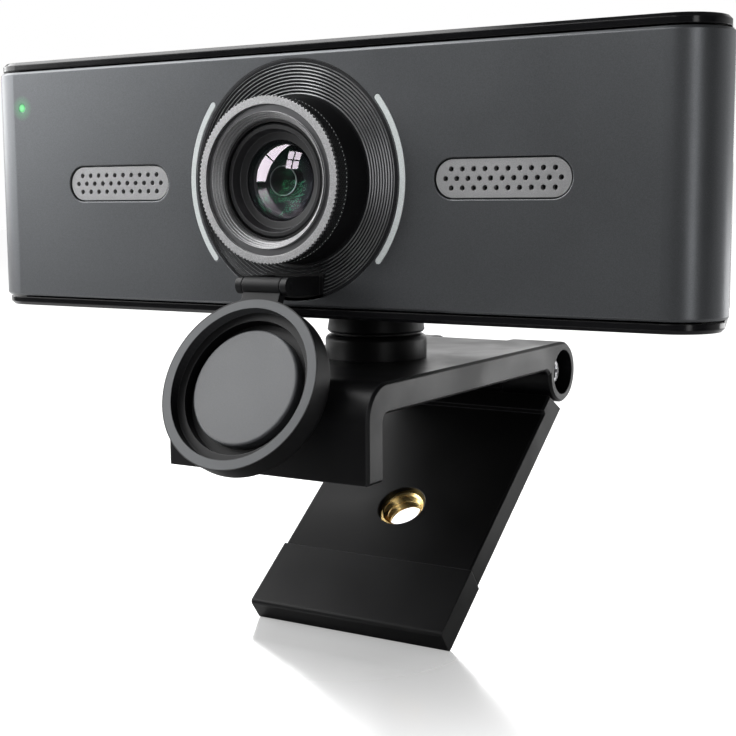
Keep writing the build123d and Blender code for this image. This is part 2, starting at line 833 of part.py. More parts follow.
def lip_pad_block(clearance, front, back):
    half = clip_width / 2 - pad_margin + clearance
    low = plate_top_z - lip_drop + pad_margin - clearance
    high = plate_bottom_z - clip_inner_corner - pad_margin / 2 + clearance
    return block((-half, half), (front, back), (low, high))


def lip_pad_seat():
    back = lip_front + lip_thickness
    return lip_pad_block(fit_gap, back - pad_recess, back + 1)


def lip_pad():
    """Rubber strip on the lip's back, where it bears on a screen's front."""
    seat = lip_front + lip_thickness - pad_recess
    return lip_pad_block(0, seat, seat + pad_thickness)


# ------------------------------------------------------------------ clip hinge
def hinge_inner():
    return clip_width / 2 - hinge_counterbore_depth


def hinge_pin():
    pin = rod("X", pin_radius, -hinge_inner(), hinge_inner(), (hinge_y, hinge_z))
    for side in (-1, 1):
        pin -= rod("X", hinge_screw_shank, side * (hinge_inner() - hinge_screw_reach - hinge_screw_end_gap),
                   side * (hinge_inner() + 1), (hinge_y, hinge_z))
    return pin


def hinge_screws():
    """Cross-head screws into both ends of the pin, down in the barrels' counterbores."""
    seat = hinge_inner()
    at = (hinge_y, hinge_z)
    screw = rod("X", hinge_screw_radius, seat, seat + hinge_screw_height, at)
    screw = fillet(screw.faces().sort_by(Axis.X)[-1].edges(), hinge_screw_height / 3)
    screw += rod("X", hinge_screw_shank - fit_gap / 5, seat - hinge_screw_reach, seat, at)
    cross = cross_cut(cross_width, cross_length, cross_depth)
    screw -= Pos(seat + hinge_screw_height, *at) * Rot(0, 90, 0) * cross
    return [screw, mirrored(screw)]


def hinge_washers():
    """Thin friction washers beside the leg's knuckle."""
    middle = knuckle_width / 2
    at = (hinge_y, hinge_z)
    washer = rod("X", hinge_washer_radius, middle + knuckle_gap - pin_washer, middle + knuckle_gap, at)
    washer -= rod("X", pin_radius + running_gap, middle, middle + 1, at)
    return [washer, mirrored(washer)]


# ------------------------------------------------------------------ clip leg
# The leg is drawn lying along -Y from the hinge, its inner face up, then turned down by leg_fall.
def leg_place(shape):
    return Pos(0, hinge_y, hinge_z) * Rot(leg_fall, 0, 0) * shape


def leg_shoulder():
    """Distance from the hinge axis to the leg's shoulder."""
    return hinge_radius + leg_root_gap


def clip_leg():
    """Lower jaw: a flat leg with a tongue in the foot pad and a knuckle on the hinge pin."""
    half = leg_width / 2
    top = -leg_offset
    low = top - leg_thickness
    root = -leg_shoulder()
    foot = -(leg_reach - foot_length)
    step_end = root - leg_step_length
    points = [(foot, low), (root + leg_heel, low), (root, top + leg_step), (step_end, top + leg_step),
              (step_end, top), (foot, top)]
    leg = side_profile(points, half)
    leg = chamfer(leg.faces().filter_by(Axis.X).edges(), leg_edge)
    middle = top - leg_thickness / 2
    tongue_half = half - foot_tongue_margin
    leg += block((-tongue_half, tongue_half), (foot - foot_tongue_length, foot + 1),
                 (middle - foot_tongue / 2, middle + foot_tongue / 2))
    wide = knuckle_width / 2
    outer = hinge_radius - knuckle_gap
    knuckle = rod("X", outer, -wide, wide, (0, 0))
    knuckle += block((-wide, wide), (root - 1, 0), (-outer, top))
    knuckle -= block((-wide - 1, wide + 1), (root - 2, 0), (-2 * outer, low))
    leg += knuckle
    leg -= rod("X", pin_radius + running_gap, -wide - 1, wide + 1, (0, 0))
    leg -= rod("Z", insert_radius, low - 1, top + 1, (0, insert_y()))
    return leg_place(leg)


def insert_y():
    return -(leg_reach - insert_from_foot)


def foot_pad():
    """Soft block that slides over the leg's tongue."""
    half = leg_width / 2 + foot_overlap
    top = -leg_offset
    foot = -(leg_reach - foot_length)
    pad = block((-half, half), (-leg_reach, foot), (top - leg_thickness, top))
    pad = fillet(pad.edges().filter_by(Axis.X).group_by(Axis.Y)[0], foot_edge)
    middle = top - leg_thickness / 2
    tongue_half = leg_width / 2 - foot_tongue_margin + fit_gap
    thick = foot_tongue / 2 + fit_gap
    pad -= block((-tongue_half, tongue_half), (foot - foot_tongue_length - fit_gap, foot + 1),
                 (middle - thick, middle + thick))
    return leg_place(pad)


def thread_insert():
    """Brass bush for a tripod screw, flush with the leg's outer face."""
    low = -leg_offset - leg_thickness
    high = -leg_offset - insert_recess
    at = (0, insert_y())
    bush = rod("Z", insert_radius, low, high, at)
    bush -= rod("Z", insert_minor, low - 1, high + 1, at)
    rims = bush.edges().filter_by(GeomType.CIRCLE).sort_by(SortBy.RADIUS)[:2]
    bush = chamfer(rims, insert_chamfer)
    return leg_place(bush)


# ------------------------------------------------------------------ privacy cover
# The cover is drawn shut over the lens, then swung open about its hinge.
def cover_place(shape):
    axis = Axis((0, cover_hinge_y, cover_hinge_z), (1, 0, 0))
    return shape.rotate(axis, cover_open)


def privacy_cover():
    """Round cup with a stepped inside and a tab that wraps the hinge pin."""
    rim = cover_shut_y
    back = rim - cover_depth
    bore = cover_radius - cover_rim
    floor = back + cover_floor
    points = [(0, back), (cover_radius, back), (cover_radius, rim), (bore, rim),
              (bore, rim - cover_step), (bore - cover_step_width, rim - cover_step),
              (bore - cover_step_width, floor), (0, floor)]
    cup = turned(points)
    edge = cup.edges().filter_by(GeomType.CIRCLE).group_by(Axis.Y)[0]
    cup = fillet(edge, cover_edge)
    half = cover_tab_width / 2
    at = (cover_hinge_y, cover_hinge_z)
    front = cover_hinge_y - cover_tab_thickness + cover_knuckle
    tab = block((-half, half), (front, rim), (cover_hinge_z, -cover_radius + cover_rim / 2))
    tab += rod("X", cover_knuckle, -half, half, at)
    cup += tab
    cup -= rod("X", cover_pin_radius + running_gap, -half - 1, half + 1, at)
    return cover_place(cup)


def cover_pad():
    """Soft disc inside the cover that shields the glass."""
    floor = cover_shut_y - cover_depth + cover_floor
    pad = rod("Y", pad_radius, floor, floor + pad_height, (0, 0))
    pad = fillet(pad.faces().sort_by(Axis.Y)[-1].edges(), pad_edge)
    return cover_place(pad)


def cover_fork():
    """Fork that carries the cover, set into the bottom of the lens surround."""
    half = fork_half_width
    at = (cover_hinge_y, cover_hinge_z)
    base = block((-half, half), (0, panel_wall), (-2 * bezel_radius, fork_top_z))
    base &= rod("Y", bezel_radius, -1, panel_wall + 1, (0, 0))
    inner = cover_tab_width / 2 + cover_prong_gap
    arm = side_profile([(panel_wall, fork_arm_z), (panel_wall, fork_top_z - fork_shoulder),
                        (at[0], at[1] + cover_knuckle), (at[0], at[1] - cover_knuckle)],
                       inner + cover_prong)
    arm += rod("X", cover_knuckle, -inner - cover_prong, inner + cover_prong, at)
    arm -= block((-inner, inner), (at[0] - 2 * cover_knuckle, -fork_web), (-head_top - 5, fork_top_z + 5))
    fork = base + arm
    return fork - rod("X", cover_pin_radius + fit_gap / 5, -half - 1, half + 1, at)


def cover_pin():
    half = cover_tab_width / 2 + cover_prong_gap + cover_prong
    return rod("X", cover_pin_radius, -half, half, (cover_hinge_y, cover_hinge_z))


# ------------------------------------------------------------------ the whole webcam
def build():
    arc = light_arc()
    plate = grille()
    return {
        "front_shell": front_panel(),
        "rear_cover": rear_cover(),
        "top_cap": top_cap(),
        "bottom_cap": bottom_cap(),
        "lens_bezel": lens_bezel(),
        "light_arc_left": mirrored(arc),
        "light_arc_right": arc,
        "mic_grille_left": Pos(-grille_centre, 0, 0) * plate,
        "mic_grille_right": Pos(grille_centre, 0, 0) * plate,
        "microphones": microphones(),
        "microphone_boots": microphone_boots(),
        "led_pipe": led_pipe(),
        "indicator_led": indicator_led(),
        "main_board": main_board(),
        "image_sensor": image_sensor(),
        "cable_socket": cable_socket(),
        "board_screws": board_screws(),
        "housing_screws": housing_screws(),
        "cable_inlet": cable_inlet(),
        "lens_mount": lens_mount(),
        "lens_barrel": lens_barrel(),
        "focus_ring": focus_ring(),
        "focus_ring_rim": bright_rim(),
        "lens_funnel": lens_funnel(),
        "lens_cell": lens_cell(),
        "front_lens": front_lens(),
        "rear_lens": rear_lens(),
        "button_left": button(button_x[0]),
        "button_right": button(button_x[1]),
        "button_switches": button_switches(),
        "button_board": button_board(),
        "neck": neck(),
        "swivel_bolt": swivel_bolt(),
        "swivel_nut": swivel_nut(),
        "swivel_washer": swivel_washer(),
        "swivel_collar": swivel_collar(),
        "clip_bracket": clip_bracket(),
        "lip_pad": lip_pad(),
        "hinge_pin": hinge_pin(),
        "hinge_screws": hinge_screws(),
        "hinge_washers": hinge_washers(),
        "clip_leg": clip_leg(),
        "foot_pad": foot_pad(),
        "thread_insert": thread_insert(),
        "privacy_cover": privacy_cover(),
        "cover_pad": cover_pad(),
        "cover_fork": cover_fork(),
        "cover_pin": cover_pin(),
    }


def solids_of(shape):
    """The separate solids in a piece or in a group of pieces."""
    pieces = shape if isinstance(shape, list) else [shape]
    return [solid for piece in pieces for solid in piece.solids()]


def main():
    parts = {name: solids_of(shape) for name, shape in build().items()}
    box = Compound(children=[solid for part in parts.values() for solid in part]).bounding_box()
    shift = Pos(0, -box.center().Y, -box.min.Z)
    os.makedirs("parts", exist_ok=True)
    for name, part in parts.items():
        export_step(Compound(children=[shift * solid for solid in part]), f"parts/{name}.step")
    for name, y, z in (("lens_axis", 0, 0), ("swivel", swivel_y, plate_top_z),
                       ("clip_hinge", hinge_y, hinge_z),
                       ("cover_hinge", cover_hinge_y, cover_hinge_z)):
        print(name, round(y - box.center().Y, 4), round(z - box.min.Z, 4))


main()
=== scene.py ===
# %% [markdown]
# # A webcam on a folding clip
# The hard shapes of this webcam are already made: they come from its engineering model,
# each one a named object. This lesson gives them their finishes,
# adds the fine work that the solids leave out, and sets up a small studio round them.

# %% Load the webcam
from math import cos, pi, radians, sin, sqrt, tau

import bmesh
import bpy
from mathutils import Matrix, Vector


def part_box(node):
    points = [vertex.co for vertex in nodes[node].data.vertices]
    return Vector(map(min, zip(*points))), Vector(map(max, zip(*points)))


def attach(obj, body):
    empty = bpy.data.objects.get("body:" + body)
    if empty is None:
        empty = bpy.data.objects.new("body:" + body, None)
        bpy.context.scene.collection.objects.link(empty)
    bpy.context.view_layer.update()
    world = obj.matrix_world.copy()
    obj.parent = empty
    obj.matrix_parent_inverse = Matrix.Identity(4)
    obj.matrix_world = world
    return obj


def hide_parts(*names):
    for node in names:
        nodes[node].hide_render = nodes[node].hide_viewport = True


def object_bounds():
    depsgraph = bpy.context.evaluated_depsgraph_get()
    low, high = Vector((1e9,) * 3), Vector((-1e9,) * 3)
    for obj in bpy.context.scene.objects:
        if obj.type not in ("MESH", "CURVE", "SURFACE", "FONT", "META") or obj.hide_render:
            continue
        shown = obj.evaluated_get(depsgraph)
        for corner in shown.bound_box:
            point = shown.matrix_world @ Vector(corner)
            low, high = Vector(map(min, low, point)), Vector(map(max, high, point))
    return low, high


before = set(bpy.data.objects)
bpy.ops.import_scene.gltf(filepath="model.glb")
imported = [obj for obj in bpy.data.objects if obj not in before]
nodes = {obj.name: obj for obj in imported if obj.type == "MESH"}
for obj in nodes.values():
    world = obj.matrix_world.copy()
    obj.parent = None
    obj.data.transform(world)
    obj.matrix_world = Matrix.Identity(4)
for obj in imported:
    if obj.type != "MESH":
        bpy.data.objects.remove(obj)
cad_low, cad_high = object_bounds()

MM = 0.001
size = [round(1000 * (b - a), 1) for a, b in zip(cad_low, cad_high)]
print(f"{len(nodes)} nodes, {size} mm over all")

# %% [markdown]
# ## The camera
# The webcam is seen from a little to its right and from just above its lens. A long lens
# at arm's length keeps the wide head from looking bent, but it still shrinks towards the
# far end. The aim is built from three unit vectors, so that a slight roll is one number.

# %% Place the camera
shutter = bpy.data.cameras.new("studio_camera")
shutter.lens = 67.0
shutter.sensor_width = 36
camera = bpy.data.objects.new("studio_camera", shutter)
bpy.context.scene.collection.objects.link(camera)
bpy.context.scene.camera = camera
bpy.context.scene.view_settings.view_transform = "Standard"

turn, tilt, roll = radians(31.11), radians(7.0), radians(-0.32)
backward = Vector((sin(turn) * cos(tilt), -cos(turn) * cos(tilt), sin(tilt)))
level = (-backward).cross(Vector((0, 0, 1))).normalized()
upright = level.cross(-backward)
across = cos(roll) * level + sin(roll) * upright
upward = cos(roll) * upright - sin(roll) * level
aim = Matrix((across, upward, backward)).transposed().to_4x4()
eye = Vector((0.09989, -0.16675, 0.06121))
camera.matrix_world = Matrix.Translation(eye) @ aim
print("camera", [round(v, 4) for v in eye])

# %% [markdown]
# ## The studio
# Dark, satin things are lit by what they mirror. A big window at the front left grades
# the panel from light to dark, and a small one in front puts its four panes in the lens.
# A low strip behind draws the clip's side faces, an upright one draws the head's right
# corner, and a bank at the back is mirrored by the bracket's flat top.

# %% Hang the soft boxes
middle = (cad_low + cad_high) / 2
BAR = 0.02


def soft_box(name, where, width, height, watts, aim_at=middle):
    """An area light, in metres and watts, turned towards a point."""
    lamp = bpy.data.lights.new(name, "AREA")
    lamp.shape = "RECTANGLE"
    lamp.size, lamp.size_y = width, height
    lamp.energy = watts
    box = bpy.data.objects.new(name, lamp)
    box.location = where
    box.rotation_euler = (Vector(where) - Vector(aim_at)).to_track_quat("Z", "Y").to_euler()
    bpy.context.scene.collection.objects.link(box)


def window(name, where, width, height, watts, sill):
    """Four panes with bars between them; sill is the lower panes' share of the height."""
    facing = (middle - Vector(where)).normalized()
    sideways = facing.cross(Vector((0, 0, 1))).normalized()
    upwards = sideways.cross(facing)
    for row, (share, low) in enumerate(((sill, 0.0), (1 - sill, sill))):
        for column in (0, 1):
            wide, tall = width / 2 - BAR, height * share - BAR
            shift = (column - 0.5) * width / 2
            rise = height * (low + share / 2 - 0.5)
            at = Vector(where) + shift * sideways + rise * upwards
            power = watts * wide * tall / (width * height)
            soft_box(f"{name}_{row}{column}", at, wide, tall, power, at + facing)


window("left_window", (-0.51, -0.12, 0.41), 0.84, 0.86, 12.5, 0.45)
window("front_window", (-0.03, -0.46, 0.33), 0.20, 0.26, 0.8, 0.5)
soft_box("clip_strip", (0.24, 0.36, 0.022), 0.22, 0.04, 0.14)
soft_box("corner_strip", (0.31, -0.25, 0.09), 0.07, 0.36, 0.26)
soft_box("back_bank", (-0.25, 0.55, 0.16), 0.40, 0.16, 0.22)
print("two windows, two strips and a bank behind")

# %% [markdown]
# ## Small helpers for nodes
# Every look in this lesson is a tree of shader nodes, and a tree is mostly the same few
# moves: place a node, do a sum, stretch a value over a range, blend two colours. Each move
# gets a function, so that a recipe reads like the finish it makes. Sums and blends take
# either another node's socket or a plain value.

# %% Place, feed, sum, stretch and blend
def place(tree, kind, **settings):
    """Adds a shader node; a setting is one of its properties, or an input's value."""
    node = tree.nodes.new(kind)
    for name, value in settings.items():
        if hasattr(node, name):
            setattr(node, name, value)
        else:
            node.inputs[name.replace("_", " ")].default_value = value
    return node


def feed(tree, source, socket):
    """Links another node's socket in, or types a plain value."""
    if isinstance(source, bpy.types.NodeSocket):
        tree.links.new(source, socket)
    else:
        socket.default_value = source


def maths(tree, operation, *sides):
    """A Math node; each side is a socket or a number."""
    node = place(tree, "ShaderNodeMath", operation=operation)
    for slot, side in enumerate(sides):
        feed(tree, side, node.inputs[slot])
    return node.outputs[0]


def ramp(tree, value, low, high, to_low=0.0, to_high=1.0):
    """Maps a value from low-high to another range, and holds it there."""
    node = place(tree, "ShaderNodeMapRange", From_Min=low, From_Max=high, To_Min=to_low,
                 To_Max=to_high)
    tree.links.new(value, node.inputs["Value"])
    return node.outputs[0]


def blend(tree, share, first, second, kind="RGBA"):
    """Mixes two colours, or two numbers where kind is FLOAT; share 0 gives the first."""
    node = place(tree, "ShaderNodeMix", data_type=kind)
    feed(tree, share, node.inputs[0])
    start = 6 if kind == "RGBA" else 2
    for slot, side in ((start, first), (start + 1, second)):
        plain_colour = isinstance(side, (tuple, list))
        feed(tree, (*side, 1) if plain_colour else side, node.inputs[slot])
    return node.outputs[2 if kind == "RGBA" else 0]


def object_point(tree):
    """Where the shaded point lies on its own object, in metres."""
    return place(tree, "ShaderNodeTexCoord").outputs["Object"]


print("helpers ready")

# %% [markdown]
# ## The room's light
# World light is what every ray meets when it hits nothing. Light Path tells the rays
# apart: the camera sees plain white paper, shiny things see white paper behind the
# webcam and a dim room in front of it and overhead, and matt surfaces get a gentle, even
# fill. So black plastic stays black, while the background stays white.

# %% Paint the room
room = bpy.data.worlds.new("studio_room")
bpy.context.scene.world = room
room.use_nodes = True
paint = room.node_tree
paint.nodes.clear()
DIM_FRONT, WHITE_BACK, DIM_CEILING, EVEN_FILL = 0.045, 0.95, 0.12, 0.32
direction = place(paint, "ShaderNodeSeparateXYZ")
paint.links.new(place(paint, "ShaderNodeTexCoord").outputs["Generated"], direction.inputs[0])
behind = ramp(paint, direction.outputs["Y"], 0.06, 0.85, DIM_FRONT, WHITE_BACK)
below_ceiling = ramp(paint, direction.outputs["Z"], 0.25, 0.60, 1.0, DIM_CEILING)
mirrored = maths(paint, "MULTIPLY", behind, below_ceiling)
rays = place(paint, "ShaderNodeLightPath")
sharp = maths(paint, "MAXIMUM", rays.outputs["Is Glossy Ray"], rays.outputs["Is Transmission Ray"])
light = blend(paint, sharp, EVEN_FILL, mirrored, "FLOAT")
seen = blend(paint, rays.outputs["Is Camera Ray"], light, 1.0, "FLOAT")
sky = place(paint, "ShaderNodeBackground", Color=(1, 1, 1, 1))
paint.links.new(seen, sky.inputs["Strength"])
shown = place(paint, "ShaderNodeOutputWorld")
paint.links.new(sky.outputs[0], shown.inputs["Surface"])
print("world painted")

# %% [markdown]
# ## Shared effects as node groups
# Several finishes need the same effect: a moulded grain, an edge that handling has
# polished, marks left by a lathe. Each is built once as a node group with named inputs
# and outputs, then placed in a material with its own values, as a shop sets one tool up
# differently for each job. A group gives out only masks, heights and normals.

# %% A helper that starts a node group
def start_group(name, inputs, outputs):
    """An empty shader group; inputs and outputs are {name: (socket type, default or None)}."""
    group = bpy.data.node_groups.new(name, "ShaderNodeTree")
    for in_out, sockets in (("INPUT", inputs), ("OUTPUT", outputs)):
        for label, (kind, default) in sockets.items():
            socket = group.interface.new_socket(name=label, in_out=in_out, socket_type=kind)
            if default is not None:
                socket.default_value = default
    return group, place(group, "NodeGroupInput"), place(group, "NodeGroupOutput")


VALUE, VECTOR = "NodeSocketFloat", "NodeSocketVector"
print("sockets:", VALUE, VECTOR)

# %% [markdown]
# ### Grain
# Moulded plastic and blasted metal are never perfectly smooth: the tool or the blast
# leaves a fine, even roughness. Noise at the real size of the grain, in millimetres, gives
# both its height and a fleck mask. A second, much larger noise gives the faint unevenness
# that hands leave on it.

# %% The grain group
grain, grain_in, grain_out = start_group(
    "grain",
    {"Size mm": (VALUE, 0.15), "Wipe mm": (VALUE, 14.0)},
    {"Height": (VALUE, None), "Fleck": (VALUE, None), "Wipe": (VALUE, None)},
)
FLECKS, WIPES = (0.35, 0.68), (0.35, 0.65)
fine = place(grain, "ShaderNodeTexNoise", Detail=2.0, Roughness=0.6)
broad = place(grain, "ShaderNodeTexNoise", Detail=3.0, Roughness=0.55, Distortion=0.4)
for noise, label in ((fine, "Size mm"), (broad, "Wipe mm")):
    grain.links.new(object_point(grain), noise.inputs["Vector"])
    per_metre = maths(grain, "DIVIDE", 1 / MM, grain_in.outputs[label])
    grain.links.new(per_metre, noise.inputs["Scale"])
grain.links.new(fine.outputs[0], grain_out.inputs["Height"])
grain.links.new(ramp(grain, fine.outputs[0], *FLECKS), grain_out.inputs["Fleck"])
grain.links.new(ramp(grain, broad.outputs[0], *WIPES), grain_out.inputs["Wipe"])
print("group", grain.name)

# %% [markdown]
# ### Eased edges
# No moulded or machined edge is a mathematical line. It has a small radius that catches
# the light, and it is the first place to be rubbed. The Bevel node rounds the normal
# near an edge without touching the mesh, and how far that normal leans away from the true
# one is a mask of the edge itself.

# %% The eased edge group
eased, eased_in, eased_out = start_group(
    "eased_edge",
    {"Radius mm": (VALUE, 0.2)},
    {"Normal": (VECTOR, None), "Edge": (VALUE, None)},
)
rounding = place(eased, "ShaderNodeBevel", samples=6)
eased.links.new(maths(eased, "MULTIPLY", eased_in.outputs[0], MM), rounding.inputs["Radius"])
flat = place(eased, "ShaderNodeNewGeometry")
lean = place(eased, "ShaderNodeVectorMath", operation="DOT_PRODUCT")
eased.links.new(rounding.outputs[0], lean.inputs[0])
eased.links.new(flat.outputs["Normal"], lean.inputs[1])
eased.links.new(rounding.outputs[0], eased_out.inputs["Normal"])
STILL_FLAT, FULLY_EDGE = 0.99, 0.85
edge = ramp(eased, lean.outputs["Value"], STILL_FLAT, FULLY_EDGE)
eased.links.new(edge, eased_out.inputs["Edge"])
print("group", eased.name)

# %% [markdown]
# ### How far from an axis
# Most of this webcam is round about some axis. Taking a point's offset from the axis, and
# splitting it into the part along the axis and the part across it, gives the radius that
# turned marks, painted shade in grooves and hollows, and a painted reflection on a rim all need.

# %% The axis group
axial, axial_in, axial_out = start_group(
    "around_axis",
    {"Centre": (VECTOR, None), "Axis": (VECTOR, None)},
    {"Radius": (VALUE, None), "Along": (VALUE, None)},
)


def vectors(tree, operation, first, second, output=0):
    """A Vector Math node; for SCALE the second side is a number."""
    node = place(tree, "ShaderNodeVectorMath", operation=operation)
    tree.links.new(first, node.inputs[0])
    tree.links.new(second, node.inputs["Scale" if operation == "SCALE" else 1])
    return node.outputs[output]


arm = vectors(axial, "SUBTRACT", object_point(axial), axial_in.outputs["Centre"])
along = vectors(axial, "DOT_PRODUCT", arm, axial_in.outputs["Axis"], "Value")
spoke = vectors(axial, "SUBTRACT", arm, vectors(axial, "SCALE", axial_in.outputs["Axis"], along))
length = place(axial, "ShaderNodeVectorMath", operation="LENGTH")
axial.links.new(spoke, length.inputs[0])
axial.links.new(length.outputs["Value"], axial_out.inputs["Radius"])
axial.links.new(along, axial_out.inputs["Along"])
print("group", axial.name)

# %% [markdown]
# ### Turning marks
# A lathe leaves fine rings round the axis that the piece was spun on. Each point's
# distance from that axis, plus its place along it, goes into a sine wave, so the rings
# show on faces and on walls alike. A little noise keeps them from being too regular.

# %% The turning marks group
turned, turned_in, turned_out = start_group(
    "turning_marks",
    {"Centre": (VECTOR, None), "Axis": (VECTOR, None), "Pitch mm": (VALUE, 0.12)},
    {"Height": (VALUE, None), "Streak": (VALUE, None)},
)
spun = place(turned, "ShaderNodeGroup", node_tree=axial)
for label in ("Centre", "Axis"):
    turned.links.new(turned_in.outputs[label], spun.inputs[label])
JITTER = 0.06 * MM
jitter = place(turned, "ShaderNodeTexNoise", Scale=900.0, Detail=1.0)
turned.links.new(object_point(turned), jitter.inputs["Vector"])
reach = maths(turned, "ADD", spun.outputs["Radius"], spun.outputs["Along"])
reach = maths(turned, "ADD", reach, maths(turned, "MULTIPLY", jitter.outputs[0], JITTER))
pitch = maths(turned, "MULTIPLY", turned_in.outputs["Pitch mm"], MM / tau)
ripple = maths(turned, "SINE", maths(turned, "DIVIDE", reach, pitch))
turned.links.new(maths(turned, "MULTIPLY_ADD", ripple, 0.5), turned_out.inputs["Height"])
turned.links.new(ramp(turned, ripple, -1.0, 1.0), turned_out.inputs["Streak"])
print("group", turned.name)

# %% [markdown]
# ## Finishes for plastic and coated metal
# Most of the webcam is moulded plastic or coated metal, and they differ only in numbers:
# a colour, how rough, how coarse the grain, how wide the eased edge. One function lays
# out the nodes, and each finish calls it with its own values. What is the same all over
# a surface, such as how metallic it is, is typed straight into the shader.

# %% A bare material, and a zone that paints a highlight on a rim and shade in a hollow
def new_finish(name):
    """A material with its node tree and its one shader."""
    finish = bpy.data.materials.new(name)
    finish.use_nodes = True
    return finish, finish.node_tree, finish.node_tree.nodes["Principled BSDF"]


def painted_zone(tree, under, centre, axis, inner_mm, outer_mm, colour, from_mm=None):
    """Lays a colour over the one given, between two radii from an axis; from_mm says how
    far along the axis it begins."""
    soft, fade = 0.04, 0.1
    place_on = place(tree, "ShaderNodeGroup", node_tree=axial, Centre=centre, Axis=axis)
    radius = maths(tree, "DIVIDE", place_on.outputs["Radius"], MM)
    past_inner = ramp(tree, radius, inner_mm - soft, inner_mm + soft)
    before_outer = ramp(tree, radius, outer_mm + soft, outer_mm - soft)
    inside = maths(tree, "MULTIPLY", past_inner, before_outer)
    if from_mm is not None:
        height = maths(tree, "DIVIDE", place_on.outputs["Along"], MM)
        inside = maths(tree, "MULTIPLY", inside, ramp(tree, height, from_mm, from_mm + fade))
    return blend(tree, inside, under, colour)


print("painted zones ready")

# %% A recipe for an even, grained finish
FLECK_LIFT, EDGE_POLISH = 1.3, -0.3


def even_finish(name, colour, rubbed, roughness, metal=0.0, specular=0.5, grain_mm=0.15,
                depth_mm=0.004, edge_mm=0.15, edge_share=0.5, uneven=0.06, zone=None):
    """A grained finish with rubbed edges; zone, if any, is what painted_zone lays over it."""
    finish, tree, shader = new_finish(name)
    shader.inputs["Metallic"].default_value = metal
    shader.inputs["Specular IOR Level"].default_value = specular
    grained = place(tree, "ShaderNodeGroup", node_tree=grain, Size_mm=grain_mm)
    edges = place(tree, "ShaderNodeGroup", node_tree=eased, Radius_mm=edge_mm)

    lifted = [min(1, FLECK_LIFT * c) for c in colour]
    flecked = blend(tree, grained.outputs["Fleck"], colour, lifted)
    wear = maths(tree, "MULTIPLY", edges.outputs["Edge"], edge_share)
    worn = blend(tree, wear, flecked, rubbed)
    painted = painted_zone(tree, worn, *zone) if zone else worn
    tree.links.new(painted, shader.inputs["Base Color"])

    wiped = ramp(tree, grained.outputs["Wipe"], 0, 1, roughness - uneven, roughness + uneven)
    polished = maths(tree, "MULTIPLY", edges.outputs["Edge"], EDGE_POLISH * roughness)
    tree.links.new(maths(tree, "ADD", wiped, polished), shader.inputs["Roughness"])

    bump = place(tree, "ShaderNodeBump", Strength=1.0, Distance=depth_mm * MM)
    tree.links.new(grained.outputs["Height"], bump.inputs["Height"])
    tree.links.new(edges.outputs["Normal"], bump.inputs["Normal"])
    tree.links.new(bump.outputs[0], shader.inputs["Normal"])
    return finish


print("recipe for even finishes ready")

# %% [markdown]
# ### The even finishes, one by one
# Each line gives a colour, the colour of a rubbed edge and the roughness, then what sets
# the finish apart. The blacks are all a little different, because the real parts come from
# different moulds: glossy caps, a satin surround, a duller leg. A zone lays painted shade
# in the hinge's counterbores, and a painted reflection of the window on the lens cover's rim.

# %% Mix the even finishes
def centre_of(node):
    low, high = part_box(node)
    return (low + high) / 2


